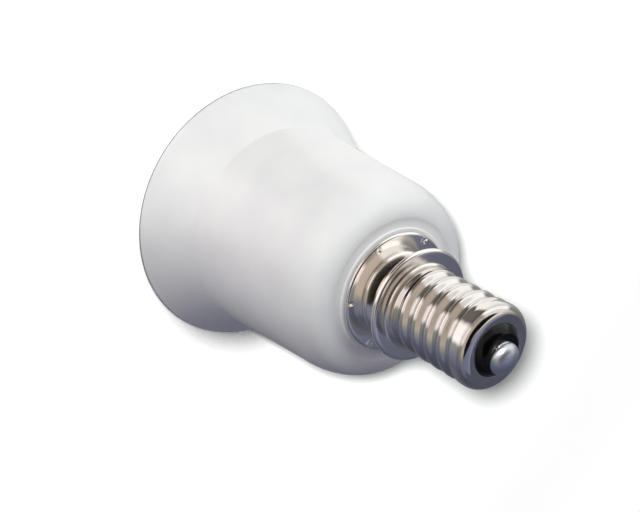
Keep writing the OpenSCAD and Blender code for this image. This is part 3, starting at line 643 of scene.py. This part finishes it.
def socket_lift(split):
    """The socket's rolled thread on both faces of the sheet, between its plain ends."""
    def lift(r, z, a):
        inner = np.arange(len(r))[:, None] < split
        threaded = (z >= E27_Z - 1e-6) & (z <= E27_TOP + 1e-6) & (r > E27_MINOR - 0.6)
        face = rolled_thread(z, a, E27_Z, E27_TOP - E27_Z, E27_PITCH, E27_MAJOR, E27_MINOR, ENTRY_R,
                             BASE_R, 0.0)
        return np.where(threaded, np.where(inner, face, face + SHELL_T - GAP / 2), r), z
    return lift


profile, split = socket_profile()
points = turned(profile, circle(220), socket_lift(split))
socket = piece(grid_mesh("socket_pressing", points, True, True), nickel_on_steel)
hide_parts("socket_shell")


def leaf_points():
    """The folded contact leaf: its middle line runs along the root, round the bend, along the
    tongue and round the curled tip. A flat section (w / 2 (cos a)^0.2, t / 2 (sin a)^0.5), with the
    signs kept, is carried along it, and narrows by a circle of LEAF_CORNER at both ends."""
    bend = arc(BEND_C, LEAF_BEND_R, 90, 270 - LEAF_DEG, 20)
    d = toward(-LEAF_DEG)
    end = bend[-1] + TONGUE_L * d
    curl_c = end + TIP_R * np.array([-d[1], d[0]])
    curl = arc(curl_c, TIP_R, 270 - LEAF_DEG, 270 - LEAF_DEG + TIP_DEG, 16)
    path = np.vstack((line([-RIVET_X + LEAF_TAIL, SEAT_Z - LEAF_T / 2], bend[0], 12), bend[1:],
                      line(bend[-1], end, 14)[1:], curl[1:]))
    s = np.concatenate(([0], np.cumsum(np.hypot(*np.diff(path, axis=0).T))))
    ahead = np.gradient(path, axis=0)
    ahead /= np.hypot(*ahead.T)[:, None]
    up = np.column_stack((-ahead[:, 1], ahead[:, 0]))
    # As for the ribs, the angles start just off 0.
    a = circle(32) + 0.01
    across, over = boxed(np.cos(a), 0.2), boxed(np.sin(a), 0.5) * LEAF_T / 2
    left = np.clip(LEAF_CORNER - np.minimum(s, s[-1] - s), 0, LEAF_CORNER)
    width = LEAF_W / 2 - LEAF_CORNER + np.sqrt(LEAF_CORNER ** 2 - left ** 2)
    return end_closed(np.stack((path[:, :1] + up[:, :1] * over, width[:, None] * across,
                                path[:, 1:] + up[:, 1:] * over), axis=-1))


leaf = piece(grid_mesh("contact_strip", leaf_points(), False, True), bronze_strip, None)
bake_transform(leaf)
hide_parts("contact_leaf")

# The other solids are shown as they are.
for name, material in (("tip_eyelet", brass_strip), ("centre_lead", copper_wire),
                       ("side_lead", copper_wire), ("centre_sleeve", sleeve_fibre),
                       ("side_sleeve", sleeve_fibre), ("side_solder", tin_solder),
                       ("shell_screws", zinc_steel), ("side_tag", brass_strip),
                       ("contact_rivet", brass_strip), ("centre_tag", brass_strip)):
    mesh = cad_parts[name].data
    mesh.materials.clear()
    mesh.materials.append(material)


# Paper, room, lamps and camera.

# Colours round the part by degrees from +X: the paper, the room's walls, the band above them, the
# ceiling, and straight overhead.
# The paper's colours round the part are painted light and shade, seen only by gloss and bounced
# light.
FLOOR_ROUND = [(0, "#292A31"), (100, "#2B2C31"), (118, "#424242"), (138, "#505050"),
               (146, "#767574"), (199, "#767574"), (208, "#2B2926"), (246, "#2B2926"),
               (258, "#787473"), (298, "#787473"), (308, "#40403D"), (330, "#373840"),
               (360, "#292A31")]
ROOM_WALLS = [(0, "#4A4E66"), (30, "#41434C"), (60, "#464954"), (100, "#4B4E5E"), (120, "#6C6C6C"),
              (142, "#7C7C7A"), (150, "#ECECEC"), (210, "#ECECEC"), (220, "#8A807C"),
              (250, "#8A7E7A"), (260, "#DCD0CE"), (294, "#DCD0CE"), (304, "#7A7C75"),
              (328, "#6C6E69"), (345, "#5A5E74"), (360, "#4A4E66")]
ROOM_UPPER = [(0, "#66686E"), (20, "#5E626E"), (34, "#484B5A"), (112, "#494C58"), (126, "#979490"),
              (150, "#CFCDCA"), (205, "#CFCDCA"), (213, "#A39A90"), (322, "#A39A90"),
              (334, "#898784"), (348, "#6A6C72"), (360, "#66686E")]
ROOM_CEILING = [(0, "#676B7E"), (50, "#676B7E"), (75, "#767A92"), (112, "#767A92"),
                (126, "#8F8F90"), (136, "#D4CEC4"), (150, "#D4CEC4"), (162, "#14110F"),
                (338, "#0C0A09"), (350, "#676B7E"), (360, "#676B7E")]
ROOM_TOP = [(0, "#666A7A"), (110, "#666A7A"), (140, "#8E8A86"), (325, "#8E8A86"),
            (345, "#666A7A"), (360, "#666A7A")]
# Where each band takes over from the one below, by the sine of the height above the horizon.
ROOM_BANDS = ((0.36, 0.42, ROOM_UPPER), (0.69, 0.715, ROOM_CEILING), (0.975, 0.995, ROOM_TOP))
ROOM_LEVEL = 1.6

# The paper: half its side, its place under the rim, its glow in mirrors, its contact shade (how far
# it reaches, the way it leans, and the shares of open sky between which it clears), where it fades
# into the backdrop, and its own lamp.
PAPER_HALF, PAPER_DROP, PAPER_GLOW = 2000.0, 0.02, 3.8
SHADE_REACH, SHADE_LEAN, SHADE_DEEP, SHADE_CLEAR = 15.0, (-0.20, -0.54, 0.82), 0.57, 0.90
FADE_FROM, FADE_TO = 100.0, 160.0
PAPER_LAMP_SIZE, PAPER_LAMP_SHIFT, PAPER_LAMP_LEVEL = 10.5, 3.4, 4.0
WHITE = (1, 1, 1, 1)

# Camera, fitted to the circles and the thread's outline of the real part.
CAMERA_AT, CAMERA_LENS = (0.0, -129.8352, 161.22419), 61.875
CAMERA_AHEAD, CAMERA_UP = (0.00623, 0.68055, -0.73267), (-0.86621, -0.36242, -0.34400)


def around(tree, vector):
    """Share of a turn, 0 to 1, at which a direction or place lies round the axis, from +X: the
    fraction of atan2(y, x) / 2 pi + 1. Its z comes with it."""
    x, y, z = add(tree, "ShaderNodeSeparateXYZ", {"Vector": vector}).outputs
    turn = add(tree, "ShaderNodeMath", {0: y, 1: x}, operation="ARCTAN2")
    turn = add(tree, "ShaderNodeMath", {0: turn, 1: 1 / (2 * np.pi), 2: 1.0},
               operation="MULTIPLY_ADD")
    return add(tree, "ShaderNodeMath", {0: turn}, operation="FRACT"), z


def by_degrees(stops):
    """Colour stops given by degrees round the axis, as shares of a turn."""
    return [(k / 360, code) for k, code in stops]


def paper_floor():
    """White paper under the part. The camera sees it white, with the part's own shadow and a
    painted contact shade close to its rim. Gloss and bounced light see it painted by where it lies
    round the part, a painted light and shade of the room: white before the lamps, brown grey
    between them and blue grey on the far side. In mirrors it glows in those colours."""
    m, t = blank("white_paper_sheet")
    ray = add(t, "ShaderNodeLightPath").outputs
    at = add(t, "ShaderNodeTexCoord").outputs["Object"]
    turn, _ = around(t, at)
    graded = add(t, "ShaderNodeValToRGB", {0: turn}, by_degrees(FLOOR_ROUND))
    # Contact shade, deepest away from the lamps: how much of the sky towards them is hidden.
    lean = add(t, "ShaderNodeCombineXYZ", dict(enumerate(SHADE_LEAN)))
    sky = add(t, "ShaderNodeAmbientOcclusion", {"Distance": SHADE_REACH * MM, "Normal": lean},
              samples=16)
    shade = add(t, "ShaderNodeMapRange",
                {"Value": sky.outputs["AO"], "From Min": SHADE_DEEP, "From Max": SHADE_CLEAR},
                interpolation_type="SMOOTHSTEP")
    # The contact shade is painted into the colour that the camera sees.
    seen = add(t, "ShaderNodeValToRGB", {0: shade}, [(0.0, "#303032"), (1.0, "#A6A6A6")])
    colour = add(t, "ShaderNodeMix", {"Factor": ray["Is Camera Ray"], 6: graded, 7: seen},
                 data_type="RGBA").outputs[2]
    paper = add(t, "ShaderNodeBsdfDiffuse", {"Color": colour})
    mirrored = add(t, "ShaderNodeMath", {0: ray["Is Glossy Ray"], 1: ray["Is Transmission Ray"]},
                   operation="MAXIMUM")
    # Mirrors see the paper glow in its painted light and shade.
    lift = add(t, "ShaderNodeMath", {0: mirrored, 1: PAPER_GLOW}, operation="MULTIPLY")
    glow = add(t, "ShaderNodeEmission", {"Color": graded, "Strength": lift})
    sheet = add(t, "ShaderNodeAddShader", {0: paper, 1: glow})
    # Far from the part the paper fades into the white backdrop, for the camera only.
    away = add(t, "ShaderNodeVectorMath", {0: at}, operation="LENGTH").outputs["Value"]
    far = add(t, "ShaderNodeMapRange", {"Value": away, "From Min": FADE_FROM * MM,
                                        "From Max": FADE_TO * MM}, interpolation_type="SMOOTHSTEP")
    far = add(t, "ShaderNodeMath", {0: far, 1: ray["Is Camera Ray"]}, operation="MULTIPLY")
    white = add(t, "ShaderNodeEmission", {"Color": WHITE, "Strength": 1.0})
    sheet = add(t, "ShaderNodeMixShader", {0: far, 1: sheet, 2: white})
    # From below the sheet is left open, so that the part's underside can be looked at.
    below = add(t, "ShaderNodeNewGeometry").outputs["Backfacing"]
    clear = add(t, "ShaderNodeBsdfTransparent")
    sheet = add(t, "ShaderNodeMixShader", {0: below, 1: sheet, 2: clear})
    add(t, "ShaderNodeOutputMaterial", {"Surface": sheet})
    return m


floor_mesh = bpy.data.meshes.new("paper_floor")
floor_mesh.from_pydata([(x * PAPER_HALF * MM, y * PAPER_HALF * MM, -PAPER_DROP * MM)
                        for x, y in ((-1, -1), (1, -1), (1, 1), (-1, 1))], [], [(0, 1, 2, 3)])
floor = bpy.data.objects.new("paper_floor", floor_mesh)
floor_mesh.materials.append(paper_floor())
bpy.context.scene.collection.objects.link(floor)


def studio_world():
    """The room as light, by the direction's place round the part and its height: two large soft
    boxes with a dim gap between them and a blue-grey far side, a warm band above them, a ceiling
    that is dark over the lamps, and a grey patch straight overhead."""
    world = bpy.data.worlds.new("studio_room")
    world.use_nodes = True
    t = world.node_tree
    t.nodes.clear()
    turn, z = around(t, add(t, "ShaderNodeTexCoord").outputs["Generated"])
    colour = add(t, "ShaderNodeValToRGB", {0: turn}, by_degrees(ROOM_WALLS)).outputs[0]
    for low, high, stops in ROOM_BANDS:
        share = add(t, "ShaderNodeMapRange", {"Value": z, "From Min": low, "From Max": high},
                    interpolation_type="SMOOTHSTEP")
        band = add(t, "ShaderNodeValToRGB", {0: turn}, by_degrees(stops))
        colour = add(t, "ShaderNodeMix", {"Factor": share, 6: colour, 7: band},
                     data_type="RGBA").outputs[2]
    room = add(t, "ShaderNodeBackground", {"Color": colour, "Strength": ROOM_LEVEL})
    # The camera sees a white backdrop in the room's place.
    white = add(t, "ShaderNodeBackground", {"Color": WHITE, "Strength": 1.0})
    camera_ray = add(t, "ShaderNodeLightPath").outputs["Is Camera Ray"]
    seen = add(t, "ShaderNodeMixShader", {0: camera_ray, 1: room, 2: white})
    add(t, "ShaderNodeOutputWorld", {"Surface": seen})
    return world


bpy.context.scene.world = studio_world()
bpy.context.scene.view_settings.view_transform = "Standard"


def soft_box(name, azimuth, height, away, size, level, code):
    """A soft box away millimetres from the part's axis, at an azimuth and a height above the rim,
    that faces the part's middle. level is the share of white that it gives to a white surface
    facing it: power = level pi^2 distance^2."""
    a = np.radians(azimuth)
    at = Vector((away * np.cos(a), away * np.sin(a), height)) * MM
    aim = Vector((0, 0, 32)) * MM
    data = bpy.data.lights.new(name, "AREA")
    data.shape = "RECTANGLE"
    data.size, data.size_y = size[0] * MM, size[1] * MM
    data.energy = level * np.pi ** 2 * (at - aim).length ** 2
    data.color = tint(code)[:3]
    obj = bpy.data.objects.new(name, data)
    obj.location = at
    obj.rotation_euler = (aim - at).to_track_quat("-Z", "Y").to_euler()
    bpy.context.scene.collection.objects.link(obj)
    return obj


def light_only(lamp, name, target):
    """Keeps a lamp's light to one object."""
    group = bpy.data.collections.new(name)
    group.objects.link(target)
    lamp.light_linking.receiver_collection = group


# These boxes only model the white moulding's form: the room is what gloss and metal show.
low_box = soft_box("low_strip_box", 264, 66, 600, (420, 110), 0.43, "#F8FFFA")
low_box.visible_glossy = False
high_box = soft_box("high_box", 206, 520, 400, (300, 300), 0.41, "#F3FFF7")
high_box.visible_glossy = False

# A lamp for the solder alone: the one white highlight on its upper left.
solder_spark = soft_box("solder_spark", 243, 120, 200, (60, 60), 0.75, "#FFFFFF")
light_only(solder_spark, "solder_only", dome)

camera_data = bpy.data.cameras.new("view")
camera_data.sensor_fit = "HORIZONTAL"
camera_data.sensor_width = 36.0
camera_data.lens = CAMERA_LENS
camera_data.clip_start = 0.005
camera = bpy.data.objects.new("view", camera_data)
ahead = Vector(CAMERA_AHEAD).normalized()
right = ahead.cross(Vector(CAMERA_UP).normalized()).normalized()
up = right.cross(ahead)
turn = Matrix((right, up, -ahead)).transposed().to_4x4()
camera.matrix_world = Matrix.Translation(Vector(CAMERA_AT) * MM) @ turn
bpy.context.scene.collection.objects.link(camera)
bpy.context.scene.camera = camera

# A small disk of light up and left of the camera, for the paper alone: it draws the thin soft
# shadow along the part's lower right. Its light doesn't fall off with distance.
paper_light = bpy.data.lights.new("paper_lamp", "AREA")
paper_light.shape = "DISK"
paper_light.size = PAPER_LAMP_SIZE * MM
paper_light.energy = PAPER_LAMP_LEVEL * np.pi ** 2
paper_light.use_nodes = True
even = add(paper_light.node_tree, "ShaderNodeLightFalloff", {"Strength": 1.0}).outputs["Constant"]
lamp_shader = paper_light.node_tree.nodes["Emission"]
paper_light.node_tree.links.new(even, lamp_shader.inputs["Strength"])
paper_lamp = bpy.data.objects.new("paper_lamp", paper_light)
lamp_at = camera.matrix_world.translation + (up - right) * PAPER_LAMP_SHIFT * MM
paper_lamp.matrix_world = Matrix.Translation(lamp_at) @ turn
paper_lamp.visible_glossy = False
bpy.context.scene.collection.objects.link(paper_lamp)
light_only(paper_lamp, "paper_only", floor)
